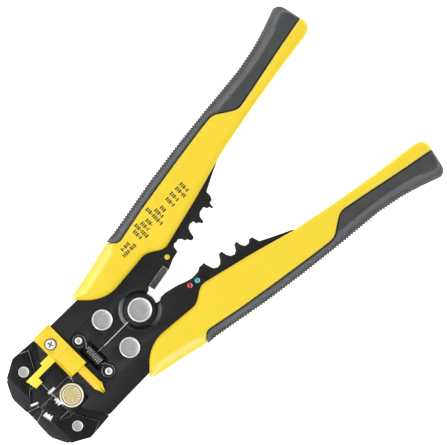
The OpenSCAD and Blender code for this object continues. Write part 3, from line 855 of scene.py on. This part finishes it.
def grip(side):
    """Grey rubber with ribs across its sloping outer band, which is painted paler as painted
    light.
    """
    node = SIDE_NAMES[side] + "_handle_grip"
    high, mid = handle_heights(side)
    outline = Outline(node)
    xs = stations(outline.x0, outline.x1, step=RIB_PITCH / 6, end_step=0.1)
    rings = []
    for x, inner, outer in zip(xs, *smooth_edges(outline, side, xs, (6, 6))):
        half = section(inner + GRIP_INSET[0], outer - GRIP_INSET[1], mid, high,
                       inner_round=0.45, band=value_at(RIDGE, x), drop=4.3, edge_round=2.4,
                       gaps=(GROOVE_GAP, 0))
        rib = rib_depth(x)
        rib_y = outer - RIB_REACH
        ribbed = []
        for y, z in half:
            cut = rib * smoothstep(rib_y, rib_y + RIB_RAMP, y)
            ribbed.append((y - cut, z - 0.5 * cut if z > mid else z))
        squeeze = end_round(x - outline.x0, reach=3.5, least=0.45)
        rings.append(ring_of(ribbed, x, side, mid, squeeze))
    piece = solid(node + "_rubber", *loft(rings), RUBBER, angle=50)

    def on_band(p):
        outer = edges(outline, side, min(xs[-1], max(xs[0], p.x)))[1]
        return abs(p.y) > outer - value_at(RIDGE, p.x) - BAND_LEAD

    # The band painted paler, as painted light
    stand_for(second_material(piece, RIBS_PAINTED_LIGHT, on_band), node)


# ---------------------------------------------------------------- rivets and turned parts

def rivet_profile(r, z0, z1, rim, dish):
    """From the axis at the bottom, up the side, over a rim to a slightly dished face; the rim
    takes a painted highlight.
    """
    return [(0, z0), (r - 0.25, z0), (r, z0 + 0.25), (r, z1 - rim * 0.9),
            (r - rim * 0.25, z1 - rim * 0.3), (r - rim * 0.8, z1),
            (r - rim * 1.15, z1 - dish * 0.4), (r - rim * 1.5, z1 - dish),
            (r * 0.5, z1 - dish * 0.8), (0, z1 - dish * 0.7)]


def rivet(node, r, rim, dish, seat_top, seat_bottom):
    """Two turned heads, each from its seat outwards, with a painted highlight on the rim."""
    at = centre(node)

    def on_rim(p):
        return p.xy.length > r - rim * 1.2

    upper = lathe(node + "_head", rivet_profile(r, seat_top, top(node), rim, dish), RIVET,
                  (at.x, at.y, 0))
    stand_for(second_material(upper, BRIGHT_AND_HIGHLIGHT, on_rim), node)
    tail = [(x, -z) for x, z in rivet_profile(r, -seat_bottom, -bottom(node), rim, dish)]
    tail = lathe(node + "_tail", tail, RIVET, (at.x, at.y, 0))
    add_to(second_material(tail, BRIGHT_AND_HIGHLIGHT, on_rim), node)


def radius_of(node):
    low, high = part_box(node)
    return (high.x - low.x) / 2 / MM


def spring_post(node):
    """A turned post with a rim round a shallow hollow, painted bright as a highlight."""
    at, r, z1 = centre(node), radius_of(node), top(node)
    shank_r, shoulder = r - 0.4, z1 - 1.3
    hollow_r, hollow_z = r - 0.75, z1 - 0.14
    profile = [(0, bottom(node)), (shank_r, bottom(node)), (shank_r, shoulder), (r, shoulder),
               (r, z1 - 0.25), (r - 0.12, z1 - 0.06), (r - 0.3, z1), (r - 0.62, z1 - 0.03),
               (hollow_r, hollow_z), (0, hollow_z)]
    turned = lathe(node + "_turned", profile, RIVET, (at.x, at.y, 0), 64)
    stand_for(second_material(turned, BRIGHT_AND_HIGHLIGHT, lambda p: hollow_r < p.xy.length), node)


def knob(node="adjusting_knob"):
    """Turned brass knob: knurled rim, bead with a painted highlight, groove with painted shade,
    and a raised ring with marks.
    """
    at, z1 = centre(node), top(node)
    origin = (at.x, at.y, 0)
    r = radius_of(node) - CLEARANCE
    z0 = z1 - KNOB_T
    neck = bottom(node) + CLEARANCE
    profile = [(0, neck), (KNOB_NECK_R, neck), (KNOB_NECK_R, z0 + KNOB_BACK[0][1])]
    profile += [(r - inset, z0 + rise) for inset, rise in KNOB_BACK]
    profile += [(r - inset, z1 - drop) for inset, drop in KNOB_FACE]
    profile += [(KNOB_DISH_R, z1 - KNOB_DISH), (0, z1 - KNOB_DISH)]

    def knurl(radius, a):
        amount = smoothstep(r - 0.3, r - 0.05, radius)
        return radius - amount * KNURL_DEPTH * (0.5 + 0.5 * math.cos(KNURLS * a))

    def within(bands):
        def chosen(p):
            return any(low < r - p.xy.length < high for low, high in bands)
        return chosen

    turned = lathe(node + "_turned", profile, BRASS, origin, KNURLS * 6, 40, knurl)
    second_material(turned, BRASS_HIGHLIGHT, within(HIGHLIGHT_INSETS))
    second_material(turned, BRASS_SHADE, within(SHADE_INSETS))
    stand_for(turned, node)
    inner, outer = (r - inset for inset in MARK_RING)

    def arcs(starts, turn, drop):
        return [(inner, outer, a + turn[0], a + turn[1], z1 - MARK_FOOT, z1 - drop)
                for a in starts]

    starts = range(FIRST_MARK, LAST_MARK + 1, MARK_SPACING)
    marks = arcs(starts, MARK_TURN, MARK_DROP)
    add_to(arc_blocks(node + "_marks", origin, marks, BRASS_HIGHLIGHT), node)
    shades = arcs(starts[:-1], SHADE_TURN, SHADE_DROP)
    add_to(arc_blocks(node + "_shades", origin, shades, BRASS_SHADE), node)


def spring(node="return_spring"):
    """Wound wire with a hook round each post."""
    post = centre("left_spring_post")
    diameter = top(node) - bottom(node)
    coil_r = (diameter - SPRING_WIRE) / 2
    axis_x = post.x + AXIS_SHIFT
    axis_z = bottom(node) + diameter / 2
    hook_z = axis_z + coil_r
    half = SPRING_TURNS * SPRING_PITCH / 2
    coil = []
    for i in range(int((SPRING_TURNS - 1) * TURN_STEPS) + 1):
        t = 0.5 + i / TURN_STEPS
        a = 2 * math.pi * t
        coil.append((axis_x + coil_r * math.sin(a), -half + t * SPRING_PITCH,
                     axis_z - coil_r * math.cos(a)))
    hook = [(post.x + dx, half + dy, hook_z) for dx, dy in HOOK_LEAD]
    for k in range(HOOK_STEPS):
        a = math.radians(HOOK_START - HOOK_STEP * k)
        hook.append((post.x + HOOK_R * math.cos(a),
                     post.y + HOOK_SHIFT + HOOK_R * math.sin(a), hook_z))
    back = [(x, -y, z) for x, y, z in reversed(hook)]
    radius = SPRING_WIRE / 2 - CLEARANCE / 2
    piece = sweep(node + "_wire", back + coil + hook, radius, SPRING)
    # The hooks painted darker, as painted shade
    second_material(piece, HOOK_PAINTED_SHADE, lambda p: abs(p.y) > half - HOOK_SHIFT)
    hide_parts(node)
    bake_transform(piece)


def dot(name, node, x, y, material):
    """A drop of enamel, low and round, in its recess."""
    z0, z1 = bottom(node), top(node)
    profile = [(0, z0)] + [(DOT_R * math.cos(a), z0 + (z1 - z0) * math.sin(a))
                           for a in (math.radians(d) for d in range(0, 91, 10))]
    return lathe(name, profile, material, (x, y, 0), 48, 60)


def code_dots():
    """Yellow on the right lever; blue and red in opposite corners of the left node's box."""
    node = "right_code_dot"
    at = centre(node)
    stand_for(dot("right_dot_yellow", node, at.x, at.y, ENAMEL_YELLOW), node)
    node = "left_code_dots"
    low, high = (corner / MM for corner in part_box(node))
    stand_for(dot("left_dot_blue", node, low.x + DOT_R, high.y - DOT_R, ENAMEL_BLUE), node)
    add_to(dot("left_dot_red", node, high.x - DOT_R, low.y + DOT_R, ENAMEL_RED), node)


def dashes(start, stop):
    """The dashes of one printed line: where each begins and ends, and half its width."""
    found = []
    at = start
    while at < stop - LEAST_DASH:
        length, half = STROKES[len(found) % len(STROKES)]
        found.append((at, min(at + length, stop), half))
        at += length + STROKE_GAP
    return found


def printed_marks():
    """Plain dashes in the places of the size table printed on the right handle."""
    node = "right_handle_shell"
    z = top(node) - SKIN
    boxes = [(x - half, x + half, a, b)
             for x, y0, y1 in PRINT_COLUMNS for a, b, half in dashes(y0, y1)]
    boxes += [(a, b, y - half, y + half)
              for y, x0, x1 in PRINT_ROWS for a, b, half in dashes(x0, x1)]
    add_to(bars("right_handle_print", boxes, z - INK_SINK, z + INK_RISE, INK), node)


# ---------------------------------------------------------------- steel parts

PLATE_TOP = top("left_front_plate")
PLATE_LOW = bottom("left_rear_plate")
JAW_TOP = top("left_front_jaw_plate")
JAW_LOW = bottom("left_rear_jaw_plate")


def in_ring(p):
    """The dished wall and rim of the recess round the main pivot."""
    shallow, deep = RING_DEPTH
    return RING_R[0] < p.xy.length < RING_R[1] and shallow < PLATE_TOP - p.z < deep


def at_nose(p):
    """Where the edges of the jaw plates stay black: in front, and at the flanks."""
    in_front = p.x > NOSE_X and abs(p.y) > NOSE_Y
    at_flank = p.x > FLANK_X and abs(p.y) > FLANK_Y
    return in_front or at_flank


def on_nose(p):
    """The sloping front of a jaw plate's outside face."""
    outside = p.z > JAW_TOP - SLOPE_DEPTH or p.z < JAW_LOW + SLOPE_DEPTH
    return p.x > SLOPE_X and outside


def on_rear_corner(p):
    """The outer edge of a jaw plate next to the handle side, painted bright as a highlight."""
    return p.x < REAR_CORNER_X and abs(p.y) > REAR_CORNER_Y


def in_throat(p):
    """The upper edges of the throat between the jaws."""
    return p.x > THROAT_X and THROAT_Y[0] < abs(p.y) < THROAT_Y[1] and p.z > THROAT_Z


def off_centre(p):
    """Away from the teeth, where the grips stay dark."""
    return abs(p.y) > TOOTH_Y


def head(name):
    """Rivets, lever and rear side plate of one half of the head."""
    rivet(name + "_arm_rivet", r=4.4, rim=0.5, dish=0.1, seat_top=PLATE_TOP,
          seat_bottom=PLATE_LOW)
    rivet(name + "_jaw_rivet", r=2.3, rim=0.3, dish=0.05, seat_top=JAW_TOP,
          seat_bottom=JAW_LOW)
    rounded(name + "_lever", BLACK, width=0.25, edge=WORN_AND_HIGHLIGHT)
    rounded(name + "_rear_plate", BLACK, width=0.22, edge=WORN_AND_HIGHLIGHT)


def jaw_arm(name):
    """A jaw arm, with the edges of its throat rubbed and painted bright as a highlight."""
    arm = rounded(name + "_jaw_arm", BLACK, width=0.16, edge=WORN_AND_HIGHLIGHT)
    second_material(arm, RUBBED_AND_HIGHLIGHT, in_throat, edges_only=True)


def front_plate(name):
    """The side plate on top, with its half of the recess, painted with highlights on its wall
    and rim.
    """
    second_material(rounded(name + "_front_plate", BLACK, width=0.22), GLOSS_PAINTED_HIGHLIGHT, in_ring)


def jaw(name):
    """The two side plates of a jaw and its toothed grip."""
    for part in ("_front_jaw_plate", "_rear_jaw_plate"):
        # Broken edges rubbed and painted pale as a highlight, except at the nose and flanks
        plate = rounded(name + part, JAW_BLACK, width=0.28, edge=RUBBED_AND_HIGHLIGHT, plain=at_nose)
        second_material(plate, BLACK, on_nose)
        # The rear outer corner's broken edge painted bright, as a painted highlight
        second_material(plate, BRIGHT_AND_HIGHLIGHT, on_rear_corner, edges_only=True)
    # The edges at the teeth rubbed and painted pale as a highlight
    rounded(name + "_grip_insert", DARK, width=0.08, edge=RUBBED_AND_HIGHLIGHT, plain=off_centre)


def blades(name):
    """One blade and the holder that carries it."""
    rounded(name + "_blade_holder", DARK, width=0.12, edge=WORN_AND_HIGHLIGHT)
    rounded(name + "_strip_blade", DARK, width=0.14, edge=GROUND)


def wire_stop():
    """Yellow slider with its arm painted paler as painted light, its cross-head screw and the
    nut.
    """
    slider = rounded("wire_stop", STOP, width=0.25)
    second_material(slider, STOP_ARM_PAINTED_LIGHT, lambda p: p.x > STOP_ARM_X and p.y < STOP_ARM_Y)
    node = "wire_stop_screw"
    at, cross_z = centre(node), top(node) - SCREW_CROSS_DEPTH

    def in_shade(p):
        reach = (p - at).xy.length
        return reach > SCREW_RIM_R or (reach < SCREW_CROSS_R and p.z < cross_z)

    # The ring round the screw head and its cross recess painted dark, as painted shade
    second_material(rounded(node, BRIGHT_AND_HIGHLIGHT, width=0.15), SCREW_SHADE, in_shade)
    rounded("wire_stop_nut", RIVET, width=0.12)


# ---------------------------------------------------------------- scene

def camera():
    """Straight down on the tool, with the handles towards the upper right."""
    data = bpy.data.cameras.new("camera")
    data.lens = LENS
    data.sensor_width = SENSOR
    data.clip_end = 20
    cam = bpy.data.objects.new("camera", data)
    height = VIEW_WIDTH * LENS / SENSOR
    cam.location = Vector((*VIEW_CENTRE, height + FOCUS_Z)) * MM
    cam.rotation_euler = (0, 0, math.radians(VIEW_TURN))
    bpy.context.scene.collection.objects.link(cam)
    bpy.context.scene.camera = cam


def area_light(name, location, size, power):
    data = bpy.data.lights.new(name, "AREA")
    data.shape = "RECTANGLE"
    data.size, data.size_y = size
    data.energy = power
    light = bpy.data.objects.new(name, data)
    light.location = location
    aim = Vector(LIGHT_TARGET) - Vector(location)
    light.rotation_euler = aim.to_track_quat("-Z", "Y").to_euler()
    bpy.context.scene.collection.objects.link(light)


def floor():
    """A plain pale plane just below the tool."""
    mesh = bpy.data.meshes.new("floor")
    corners = [(x * FLOOR_REACH, y * FLOOR_REACH, 0)
               for x, y in ((-1, -1), (1, -1), (1, 1), (-1, 1))]
    mesh.from_pydata(corners, [], [(0, 1, 2, 3)])
    mesh.materials.append(floor_white())
    plane = bpy.data.objects.new("floor", mesh)
    bpy.context.scene.collection.objects.link(plane)
    plane.location.z = cad_box[0][2] - FLOOR_GAP


def studio():
    """Floor, lights and an even white surround."""
    floor()
    for light in LIGHTS:
        area_light(*light)
    world = bpy.data.worlds.new("world")
    world.use_nodes = True
    back = world.node_tree.nodes["Background"]
    back.inputs["Color"].default_value = (1, 1, 1, 1)
    back.inputs["Strength"].default_value = WORLD_STRENGTH
    bpy.context.scene.world = world
    bpy.context.scene.view_settings.view_transform = "Standard"


for side in (LEFT, RIGHT):
    shell(side)
    grip(side)
rivet("main_pivot_rivet", r=5.2, rim=0.62, dish=0.12, seat_top=PLATE_TOP,
      seat_bottom=PLATE_LOW)
for name in SIDE_NAMES.values():
    head(name)
    jaw_arm(name)
    front_plate(name)
    jaw(name)
    blades(name)
    spring_post(name + "_spring_post")
rounded("knob_bracket", BLACK, width=0.2, edge=WORN_AND_HIGHLIGHT)
rounded("pivot_washers", BLACK, width=0.25)
# The cutter blade, with its edges and rear end painted bright as highlights
rounded("cutter_blade", CUTTER_AND_HIGHLIGHT, width=0.15, edge=BRIGHT_AND_HIGHLIGHT)
wire_stop()
rounded("knob_stud", BRASS, width=0.12)
knob()
spring()
printed_marks()
code_dots()
studio()
camera()
